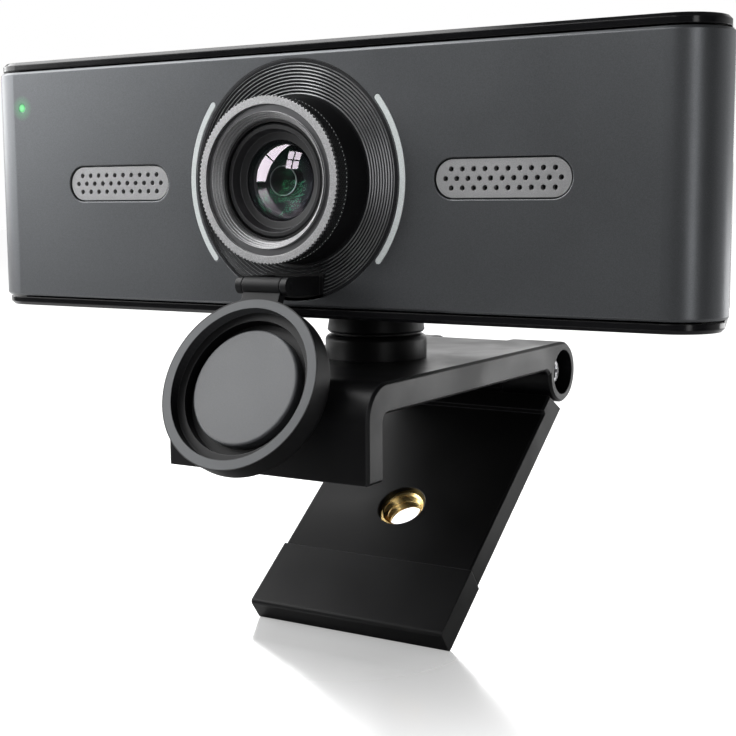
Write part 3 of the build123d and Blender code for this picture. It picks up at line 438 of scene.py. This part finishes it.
hinge, across_x = centre_of("hinge_pin"), Vector((1, 0, 0))
lens_axis, ahead = centre_of("lens_cell"), Vector((0, -1, 0))
open_angle = radians(153.5)
lid, lid_axis = centre_of("cover_pad"), Vector((0, cos(open_angle), sin(open_angle)))
finishes = {
    "panel_grey": even_finish("coated_panel", (0.100, 0.104, 0.110), (0.24, 0.245, 0.25), 0.35,
                              metal=0.8, grain_mm=0.10, depth_mm=0.0025, edge_mm=0.2, uneven=0.015),
    "gloss_black": even_finish("polished_black", (0.004, 0.004, 0.0045), (0.03, 0.03, 0.03), 0.16,
                               specular=0.24, grain_mm=0.6, depth_mm=0.0006, edge_mm=0.2, uneven=0.04),
    "satin_black": even_finish("satin_black", (0.005, 0.005, 0.0055), (0.03, 0.03, 0.032), 0.38,
                               specular=0.24, grain_mm=0.12, depth_mm=0.002, edge_mm=0.08),
    "surround_edge": even_finish("groove_steps", (0.27, 0.275, 0.28), (0.32, 0.32, 0.325), 0.32,
                                 metal=0.9, grain_mm=0.08, depth_mm=0.001, edge_mm=0.05),
    "surround_black": even_finish("grooved_black", (0.016, 0.0165, 0.018), (0.06, 0.06, 0.062), 0.34,
                                  metal=0.5, grain_mm=0.08, depth_mm=0.001, edge_mm=0.05),
    # The clip's zone is painted shade: it blacks the inside of the hinge's counterbores.
    "clip_plastic": even_finish("clip_black", (0.003, 0.003, 0.0035), (0.07, 0.07, 0.075), 0.40,
                                specular=0.25, grain_mm=0.14, depth_mm=0.0025, edge_mm=0.22,
                                zone=(hinge, across_x, 0, 3.48, (0.0015, 0.0015, 0.0015))),
    "leg_plastic": even_finish("leg_black", (0.002, 0.002, 0.0022), (0.06, 0.06, 0.063), 0.44,
                               specular=0.13, grain_mm=0.14, depth_mm=0.0025, edge_mm=0.25),
    # The cover's zone is a painted reflection: a lighter ring on the cup's front rim, where it mirrors
    # the window.
    "cover_plastic": even_finish("cover_black", (0.002, 0.002, 0.0025), (0.04, 0.04, 0.043), 0.50,
                                 specular=0.26, grain_mm=0.12, depth_mm=0.002, edge_mm=0.12,
                                 zone=(lid, lid_axis, 9.95, 11.1, (0.078, 0.081, 0.085), 0.0)),
    "rubber": even_finish("soft_rubber", (0.0025, 0.0025, 0.0028), (0.03, 0.03, 0.03), 0.46,
                          grain_mm=0.10, depth_mm=0.003, edge_mm=0.25, specular=0.16),
    "pad_grey": even_finish("lined_pad", (0.056, 0.058, 0.062), (0.13, 0.13, 0.13), 0.44,
                            grain_mm=0.09, depth_mm=0.003, edge_mm=0.3),
    "ring_black": even_finish("knurled_black", (0.006, 0.006, 0.0065), (0.12, 0.12, 0.12), 0.34,
                              grain_mm=0.08, depth_mm=0.002, edge_mm=0.04, edge_share=0.35),
    "cell_black": even_finish("blacked_cell", (0.012, 0.012, 0.013), (0.14, 0.14, 0.15), 0.42,
                              metal=0.2, grain_mm=0.07, depth_mm=0.002, edge_mm=0.15),
    "light_bar": even_finish("light_bar", (0.40, 0.425, 0.425), (0.48, 0.50, 0.50), 0.45,
                             specular=0.3, grain_mm=0.09, depth_mm=0.002, edge_mm=0.12),
    "grille_metal": even_finish("blasted_grille", (0.27, 0.27, 0.275), (0.50, 0.50, 0.50), 0.42,
                                metal=0.6, grain_mm=0.12, depth_mm=0.014, edge_mm=0.08),
    "washer_black": even_finish("washer_black", (0.004, 0.004, 0.004), (0.02, 0.02, 0.02), 0.6),
    "white_plastic": even_finish("socket_ivory", (0.72, 0.69, 0.60), (0.8, 0.78, 0.7), 0.45),
    "switch_plastic": even_finish("switch_black", (0.02, 0.02, 0.02), (0.06, 0.06, 0.06), 0.45),
    "circuit_board": even_finish("green_lacquer", (0.012, 0.09, 0.04), (0.35, 0.33, 0.2), 0.3,
                                 grain_mm=0.5, depth_mm=0.01),
    "sensor_glass": even_finish("sensor_window", (0.02, 0.02, 0.035), (0.2, 0.2, 0.2), 0.08),
    "led_body": even_finish("diffuser_white", (0.75, 0.78, 0.75), (0.8, 0.8, 0.8), 0.4),
}
print(len(finishes), "even finishes")

# %% [markdown]
# ## Finishes from the lathe
# The bright lens rings, the screws and the brass bush are spun metal. Their nodes add the
# turning marks group to the grain, around each piece's own axis. The silver rings are
# blasted after turning, so their grain is strong and sparkles, and their rings are faint.

# %% A recipe for turned metal
DULLER, STREAK_SPREAD = 0.55, 0.08


def turned_finish(name, colour, rubbed, roughness, centre, axis, pitch_mm=0.1, ring_depth=0.002,
                  grain_mm=0.08, grain_depth=0.002, edge_mm=0.06, sparkle=0.5, zone=None):
    """Spun metal: rings round an axis under a grain; sparkle is how far its flecks differ."""
    finish, tree, shader = new_finish(name)
    shader.inputs["Metallic"].default_value = 1.0
    marks = place(tree, "ShaderNodeGroup", node_tree=turned, Centre=centre, Axis=axis,
                  Pitch_mm=pitch_mm)
    grained = place(tree, "ShaderNodeGroup", node_tree=grain, Size_mm=grain_mm)
    edges = place(tree, "ShaderNodeGroup", node_tree=eased, Radius_mm=edge_mm)

    dull = [sparkle * DULLER * c + (1 - sparkle) * c for c in colour]
    sparkling = blend(tree, grained.outputs["Fleck"], dull, colour)
    worn = blend(tree, edges.outputs["Edge"], sparkling, rubbed)
    painted = painted_zone(tree, worn, *zone) if zone else worn
    tree.links.new(painted, shader.inputs["Base Color"])
    streaked = ramp(tree, marks.outputs["Streak"], 0, 1, roughness, roughness + STREAK_SPREAD)
    tree.links.new(streaked, shader.inputs["Roughness"])

    rings = place(tree, "ShaderNodeBump", Strength=1.0, Distance=ring_depth * MM)
    tree.links.new(marks.outputs["Height"], rings.inputs["Height"])
    tree.links.new(edges.outputs["Normal"], rings.inputs["Normal"])
    blast = place(tree, "ShaderNodeBump", Strength=1.0, Distance=grain_depth * MM)
    tree.links.new(grained.outputs["Height"], blast.inputs["Height"])
    tree.links.new(rings.outputs[0], blast.inputs["Normal"])
    tree.links.new(blast.outputs[0], shader.inputs["Normal"])
    return finish


bush_axis = Vector((0, 0.599, -0.8007)).normalized()
# The silver finish's zone is painted shade: it darkens the groove inside the silver rim.
finishes["ring_silver"] = turned_finish(
    "blasted_silver", (0.58, 0.58, 0.59), (0.72, 0.72, 0.73), 0.40, lens_axis, ahead,
    pitch_mm=0.24, ring_depth=0.0012, grain_mm=0.10, grain_depth=0.014, sparkle=0.9,
    zone=(lens_axis, ahead, 8.55, 9.42, (0.13, 0.13, 0.135)))
finishes["steel"] = turned_finish(
    "bright_steel", (0.56, 0.56, 0.58), (0.8, 0.8, 0.8), 0.20, hinge,
    across_x, pitch_mm=0.15, ring_depth=0.001, sparkle=0.3)
finishes["brass"] = turned_finish(
    "cut_brass", (0.90, 0.66, 0.27), (0.97, 0.80, 0.48), 0.24, centre_of("thread_insert"),
    bush_axis, pitch_mm=0.16, ring_depth=0.0012, sparkle=0.4)
print("silver, steel and brass")

# %% [markdown]
# ## Glass and light
# A camera lens is clear glass with a coating a few hundred nanometres thick, which tints
# only what the glass mirrors: faint magenta on the front face, green on the faces behind.
# The indicator is a clear rod with a green light behind it. Its end glows, and its light on
# the panel round it is a painted glow. A Spherical Gradient fades both with the distance.

# %% Coated glass and the lit rod
def coated_glass(name, mirror_tint, bend, roughness, mirror=1.0):
    """Clear glass, faintly smeared by hands; bend is how strongly it refracts."""
    glass, tree, shader = new_finish(name)
    for socket, value in (("Transmission Weight", 1.0), ("IOR", bend), ("Roughness", roughness),
                          ("Specular IOR Level", mirror), ("Specular Tint", (*mirror_tint, 1))):
        shader.inputs[socket].default_value = value
    wiped = place(tree, "ShaderNodeGroup", node_tree=grain, Wipe_mm=3.0)
    clear = blend(tree, wiped.outputs["Wipe"], (0.92, 0.95, 0.98), (0.84, 0.88, 0.95))
    tree.links.new(clear, shader.inputs["Base Color"])
    return glass


finishes["lens_glass"] = coated_glass("coated_front_glass", (1.0, 0.88, 1.0), 2.2, 0.01)
finishes["clear_green"] = even_finish("lit_green_rod", (0.03, 0.20, 0.07), (0.1, 0.4, 0.18), 0.3)
rod_low, rod_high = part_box("led_pipe")
rod_front = ((rod_low.x + rod_high.x) / 2, rod_low.y, (rod_low.z + rod_high.z) / 2)


def glow_round_rod(finish, reach_mm, far_colour, near_colour, strength):
    """Gives a finish a green emissive glow round the rod's front end, fading out over reach_mm; on the
    panel this is painted light.
    """
    tree = finish.node_tree
    ball = place(tree, "ShaderNodeMapping", vector_type="TEXTURE", Location=rod_front,
                 Scale=[reach_mm * MM] * 3)
    tree.links.new(object_point(tree), ball.inputs["Vector"])
    hot = place(tree, "ShaderNodeTexGradient", gradient_type="SPHERICAL")
    tree.links.new(ball.outputs[0], hot.inputs["Vector"])
    shader = tree.nodes["Principled BSDF"]
    lit = blend(tree, hot.outputs[0], far_colour, near_colour)
    tree.links.new(lit, shader.inputs["Emission Color"])
    shader.inputs["Emission Strength"].default_value = strength


glow_round_rod(finishes["clear_green"], 0.85, (0.004, 0.14, 0.03), (0.28, 1.0, 0.36), 0.8)
# On the panel the glow is painted light: green emission round the rod, where the indicator's light
# falls.
glow_round_rod(finishes["panel_grey"], 1.9, (0, 0, 0), (0.0, 0.42, 0.09), 0.5)
print("glass and indicator")

# %% [markdown]
# ## Dress the engineering model
# Every node carries the name of its finish in its material slot. Swapping the plain
# material there for the made one changes how it looks, and leaves its mesh alone. Three
# nodes need another finish than the one their slot names, so they are listed first.

# %% Put the finishes on
own_finish = {"lens_bezel": "surround_black", "cover_pin": "satin_black",
              "clip_leg": "leg_plastic"}
for name, node in nodes.items():
    for holder in node.material_slots:
        given = holder.material.name.split(".")[0]
        holder.material = finishes[own_finish.get(name, given)]
print("dressed", len(nodes), "nodes")

# %% [markdown]
# ## Building pieces from rings
# The finest work goes into new pieces: the diamond knurl, the thread, the coated glass.
# All of them are round, so one helper builds a mesh from rings of points. A function
# gives the radius and height of every point, and faces join each ring to the next. That
# is simpler than a modifier stack, because the knurl and the thread are just a formula.

# %% Helpers for new pieces and for round ones
CREASE = radians(32)


def new_piece(name, mesh, finish):
    """Turns a bmesh into an object of one finish."""
    data = bpy.data.meshes.new(name)
    mesh.to_mesh(data)
    mesh.free()
    data.materials.append(finish)
    piece = bpy.data.objects.new(name, data)
    bpy.context.scene.collection.objects.link(piece)
    return piece


def frame_on(axis):
    """Two directions square to an axis and to each other."""
    side = Vector((1, 0, 0)) if abs(axis.x) < 0.9 else Vector((0, 0, 1))
    second = axis.cross(side).normalized()
    return second.cross(axis), second


def ring_mesh(name, centre, axis, rows, steps, place_point, closed, finish, body):
    """rows x steps points round an axis; place_point(row, turn) gives (radius, height) in mm."""
    first, second = frame_on(axis)
    mesh = bmesh.new()
    grid = []
    for row in range(rows):
        ring = []
        for step in range(steps):
            angle = tau * step / steps
            radius, height = place_point(row, angle)
            outwards = cos(angle) * first + sin(angle) * second
            ring.append(mesh.verts.new(centre + MM * (radius * outwards + height * axis)))
        grid.append(ring)
    for row in range(rows if closed else rows - 1):
        lower, upper = grid[row], grid[(row + 1) % rows]
        for step in range(steps):
            after = (step + 1) % steps
            mesh.faces.new((lower[step], lower[after], upper[after], upper[step]))
    if not closed:
        mesh.faces.new(reversed(grid[0]))
        mesh.faces.new(grid[-1])
    bmesh.ops.recalc_face_normals(mesh, faces=mesh.faces)
    piece = new_piece(name, mesh, finish)
    piece.data.shade_smooth()
    piece.data.set_sharp_from_angle(angle=CREASE)
    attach(piece, body)
    print(name, len(piece.data.vertices), "points")
    return piece


print("piece helpers ready")

# %% [markdown]
# ### The diamond knurl
# The focus ring is rolled with a diamond knurl for grip: two sets of slanting grooves
# that leave rows of tiny pyramids. In the flat, each set is a triangle wave along one
# diagonal, and a point stands as high as the lower of the two waves lets it. The ring's
# plain inside follows as a short list of radii and heights, from the back to the front.

# %% Roll the knurl
band_low, band_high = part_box("focus_ring")
ring_centre = Vector((0, band_low.y, (band_low.z + band_high.z) / 2))
KNURL, DIAMONDS, BAND, SINK = 10.5, 120, 2.03, 0.20
SHOULDER, MARGIN, KNURL_ROWS, PER_DIAMOND = 0.26, 0.06, 15, 4
diamond = tau * KNURL / DIAMONDS
inner_walls = [(8.45, -BAND), (8.45, -10.75), (7.32, -10.75), (7.32, -1.0), (9.5, -1.0), (9.5, 0.0)]


def triangle_wave(x):
    return 1 - abs(2 * (x - int(x // 1)) - 1)


def knurl_point(row, angle):
    if row >= KNURL_ROWS + 2:
        return inner_walls[row - KNURL_ROWS - 2]
    if row in (0, KNURL_ROWS + 1):
        return KNURL - SHOULDER, 0.0 if row == 0 else -BAND
    down = MARGIN + (BAND - 2 * MARGIN) * (row - 1) / (KNURL_ROWS - 1)
    around, beside = angle * DIAMONDS / tau, down / diamond
    high = min(triangle_wave(around + beside), triangle_wave(around - beside))
    return KNURL - SINK * (1 - high), -down


knurl = ring_mesh("diamond_knurl", ring_centre, ahead, KNURL_ROWS + 2 + len(inner_walls),
                  DIAMONDS * PER_DIAMOND, knurl_point, True, finishes["ring_black"], "focus")
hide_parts("focus_ring")

# %% [markdown]
# ### The grooved surround
# The dish round the lens is turned with saw-tooth grooves: a short step that looks
# outwards, then a long flank that falls towards the lens. The steps get a much lighter
# metal than the black dish, a painted highlight that draws thin lines, brightest where they
# face the window. The section of one turn is a list of points, and the same list serves every angle.

# %% Turn the grooves
dish_low, dish_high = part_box("lens_bezel")
dish_front = Vector((0, dish_low.y, ring_centre.z))
DISH, LAND, BORE, DEEP = (dish_high.x - dish_low.x) / 2 / MM, 0.35, 10.8, 0.7
TEETH, TOOTH, LEAN, STEP, HIDDEN = 10, 0.13, 0.02, 0.16, 0.35
wall = (dish_high.y - dish_low.y) / MM
first_tooth = DISH - LAND
dish = [(DISH, -wall), (DISH, 0.0), (first_tooth, 0.0)]
for tooth in range(TEETH):
    outer = first_tooth - tooth * (first_tooth - BORE) / TEETH
    for radius, rise in ((outer - LEAN, -TOOTH), (outer - STEP, 0.0)):
        dish.append((radius, rise - DEEP * (first_tooth - radius) / (first_tooth - BORE)))
dish += [(BORE - HIDDEN, -DEEP), (BORE - HIDDEN, -wall)]
surround = ring_mesh("grooved_surround", dish_front, ahead, len(dish), 192,
                     lambda row, angle: dish[row], True, finishes["surround_black"], "head")
# The outward steps get the lighter finish: painted highlight lines on the black dish.
surround.data.materials.append(finishes["surround_edge"])
for face in surround.data.polygons:
    outward = face.center - dish_front
    away_from_lens = (outward - outward.dot(ahead) * ahead).normalized()
    is_step = face.normal.dot(away_from_lens) > 0.5
    if is_step and outward.length < (DISH - 0.5 * LAND) * MM:
        face.material_index = 1
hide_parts("lens_bezel")

# %% [markdown]
# ### A row of painted glints
# Behind the knurl, the end of each tooth catches the light as a bright bead. That glint is
# painted: one small faceted pale stud, repeated round the ring in a single mesh, which stays
# far lighter than a hundred objects. The light bars' pale grey suits it: bare metal would
# only mirror the dark room.

# %% Set the tips round the ring
TIP_INSET, TIP_TALL, TIP_BASE, TIP_TOP = 0.14, 0.16, 0.13, 0.05
tips = bmesh.new()
for count in range(DIAMONDS):
    angle = tau * (count + 0.5) / DIAMONDS
    spoke = Vector((cos(angle), 0, sin(angle)))
    at = ring_centre + MM * ((KNURL - TIP_INSET) * spoke + (BAND - TIP_INSET) * Vector((0, 1, 0)))
    lean_out = spoke.to_track_quat("Z", "Y").to_matrix().to_4x4()
    bmesh.ops.create_cone(tips, cap_ends=True, segments=6, radius1=TIP_BASE * MM,
                          radius2=TIP_TOP * MM, depth=TIP_TALL * MM,
                          matrix=Matrix.Translation(at) @ lean_out)
# Painted glints: pale studs where the tooth ends catch the light.
painted_glint_tips = new_piece("painted_glint_tips", tips, finishes["light_bar"])
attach(painted_glint_tips, "focus")
print("tips", DIAMONDS)

# %% [markdown]
# ### The tripod thread
# The brass bush in the leg takes a quarter-inch tripod screw. Its thread is a spiral
# groove: twenty turns to the inch is 1.27 mm for one turn. The wall of the bore goes in
# and out with the height, and the pattern moves on by one pitch in one turn.

# %% Cut the thread
bush_low, bush_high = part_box("thread_insert")
bush_centre = (bush_low + bush_high) / 2
PITCH, MINOR, MAJOR, OUTSIDE, TALL, CHAMFER = 1.27, 2.6, 3.17, 3.7, 3.3, 0.45
STEEPNESS, ROOT, BORE_ROWS = 2.6, 0.12, 64


def thread_point(row, angle):
    if row == BORE_ROWS:
        return OUTSIDE, TALL / 2
    if row == BORE_ROWS + 1:
        return OUTSIDE, -TALL / 2
    height = -TALL / 2 + TALL * row / (BORE_ROWS - 1)
    share = (height / PITCH - angle / tau) % 1
    flank = min(1, max(0, STEEPNESS * abs(share - 0.5) - ROOT))
    radius = MAJOR - (MAJOR - MINOR) * flank
    funnel = MINOR + max(0, abs(height) - (TALL / 2 - CHAMFER)) * (MAJOR - MINOR) / CHAMFER
    return max(radius, funnel), height


bush = ring_mesh("threaded_bush", bush_centre, bush_axis, BORE_ROWS + 2, 96, thread_point, True,
                 finishes["brass"], "leg")
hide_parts("thread_insert")

# %% [markdown]
# ### The glass behind the glass
# Looking into a lens, the eye meets a stack: the coated front dome, a second element
# with a green coating, and the fine bright edge of the iris round a black hole. The dome
# mirrors the windows upright, and its flat back face is coated green too. It is the
# solid's own dome, made thinner to leave room for the second element. The coating is a
# material of its own on the back face, picked by the way its normal points.

# %% Grind the front element
dome_low, dome_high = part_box("front_lens")
GLASS, BULGE, THICK = (dome_high.x - dome_low.x) / 2 / MM, 1.5, 1.9
DOME_ROWS, PINHOLE = 16, 0.02
dome_top = Vector((0, dome_low.y, ring_centre.z))
curve = (GLASS ** 2 + BULGE ** 2) / (2 * BULGE)


def dome_point(row, angle):
    if row >= DOME_ROWS:
        return GLASS if row == DOME_ROWS else PINHOLE, -THICK
    radius = max(PINHOLE, GLASS * sin(pi / 2 * row / (DOME_ROWS - 1)))
    return radius, sqrt(curve ** 2 - radius ** 2) - curve


front = ring_mesh("front_element", dome_top, ahead, DOME_ROWS + 2, 96, dome_point, False,
                  finishes["lens_glass"], "focus")
front.data.materials.append(
    coated_glass("coated_back_glass", (0.05, 0.60, 0.20), 1.3, 0.06, mirror=0.5))
for face in front.data.polygons:
    if face.normal.dot(ahead) < -0.9:
        face.material_index = 1
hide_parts("front_lens")

# %% [markdown]
# ### The hollow element and the iris
# The second element's front is hollow, so it mirrors the windows upside down and on the
# far side. That is what makes a lens look deep. The iris is a dark sheet with a hole, and
# all that is seen of it is the hole's bright edge, so a thin ring is enough.

# %% Set the hollow element and the iris edge
HOLLOW, HOLLOW_ROWS, LIFT, RISE = 5.0, 12, 0.12, 0.9
hollow_seat = Vector((0, dome_high.y, ring_centre.z))


def hollow_point(row, angle):
    if row >= HOLLOW_ROWS:
        return HOLLOW if row == HOLLOW_ROWS else PINHOLE, PINHOLE
    radius = HOLLOW * sin(pi / 2 * row / (HOLLOW_ROWS - 1)) or PINHOLE
    return radius, LIFT + RISE * (radius / HOLLOW) ** 2


inner_glass = coated_glass("coated_inner_glass", (0.10, 0.60, 0.25), 1.4, 0.05, mirror=0.5)
ring_mesh("inner_element", hollow_seat, ahead, HOLLOW_ROWS + 2, 96, hollow_point, False,
          inner_glass, "focus")
iris = [(1.36, 0.20), (1.36, 0.30), (1.45, 0.30), (1.45, 0.20)]
ring_mesh("iris_edge", hollow_seat, ahead, 4, 64, lambda row, angle: iris[row], True,
          finishes["surround_edge"], "focus")

# %% [markdown]
# ### Cloth behind the grilles
# Behind a microphone's holes sits a thin black cloth that keeps dust out. It is only
# glimpsed, but without it the holes would show the rubber tube and the board. A pill
# shape is drawn as one outline and given a little thickness. At this size its weave is no
# more than a coarse, soft grain.

# %% Weave the cloth
cloth_black = even_finish("acoustic_cloth", (0.010, 0.010, 0.010), (0.02, 0.02, 0.02), 0.8,
                          specular=0.2, grain_mm=0.12, depth_mm=0.02)
INSET, NEAR_FACE, FAR_FACE, RIM = 0.8, 0.02, 0.20, 32
for side in ("left", "right"):
    plate_low, plate_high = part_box("mic_grille_" + side)
    hub = (plate_low + plate_high) / 2
    half_long, half_tall = ((plate_high[way] - plate_low[way]) / 2 - INSET * MM for way in (0, 2))
    sheet = bmesh.new()
    for face_mm in (NEAR_FACE, FAR_FACE):
        rim = []
        for step in range(RIM):
            angle = tau * (step + 0.5) / RIM
            shove = (half_long - half_tall) * (1 if cos(angle) > 0 else -1)
            rim.append(sheet.verts.new((hub.x + shove + half_tall * cos(angle),
                                        plate_high.y + face_mm * MM,
                                        hub.z + half_tall * sin(angle))))
        sheet.faces.new(rim)
    rims = list(sheet.verts)
    for step in range(RIM):
        after = (step + 1) % RIM
        sheet.faces.new((rims[step], rims[after], rims[RIM + after], rims[RIM + step]))
    bmesh.ops.recalc_face_normals(sheet, faces=sheet.faces)
    cloth = new_piece("mic_cloth_" + side, sheet, cloth_black)
    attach(cloth, "head")
print("two cloths")

# %% [markdown]
# ## The floor
# The webcam stands on white acrylic, which mirrors its foot softly. Metallic gives the
# mirror and falls to nothing a few centimetres from the foot, so that the head and the
# horizon are not mirrored too. In the webcam's own shiny faces the sheet looks dark in
# front, like the room. A little white is added for the camera's rays only, so that the
# sheet meets the white background without an edge.

# %% Lay the floor
MIRROR, MIRROR_NEAR, MIRROR_FAR, CAMERA_WHITE = 0.8, 0.010, 0.062, 0.36
FLOOR_RADIUS = 3.0
acrylic, tree, shader = new_finish("white_acrylic")
shader.inputs["Roughness"].default_value = 0.15
shader.inputs["Specular IOR Level"].default_value = 0.9
shader.inputs["Emission Color"].default_value = (1, 1, 1, 1)
foot_low, foot_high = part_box("foot_pad")
away = place(tree, "ShaderNodeVectorMath", operation="DISTANCE")
away.inputs[1].default_value = ((foot_low.x + foot_high.x) / 2, foot_low.y, cad_low.z)
tree.links.new(object_point(tree), away.inputs[0])
mirror = ramp(tree, away.outputs["Value"], MIRROR_NEAR, MIRROR_FAR, MIRROR, 0.0)
tree.links.new(mirror, shader.inputs["Metallic"])

look = place(tree, "ShaderNodeLightPath")
here = place(tree, "ShaderNodeSeparateXYZ")
tree.links.new(object_point(tree), here.inputs[0])
in_front = ramp(tree, here.outputs["Y"], 0.10, -0.08)
dim = maths(tree, "MULTIPLY", in_front, look.outputs["Is Glossy Ray"])
paper = blend(tree, dim, (0.92, 0.92, 0.92), (0.05, 0.05, 0.05))
tree.links.new(paper, shader.inputs["Base Color"])
bright = maths(tree, "MULTIPLY", look.outputs["Is Camera Ray"], CAMERA_WHITE)
tree.links.new(bright, shader.inputs["Emission Strength"])

ground = bmesh.new()
bmesh.ops.create_circle(ground, cap_ends=True, segments=96, radius=FLOOR_RADIUS,
                        matrix=Matrix.Translation((0, 0, cad_low.z)))
floor = new_piece("studio_floor", ground, acrylic)
print("floor at", round(1000 * cad_low.z, 2), "mm")
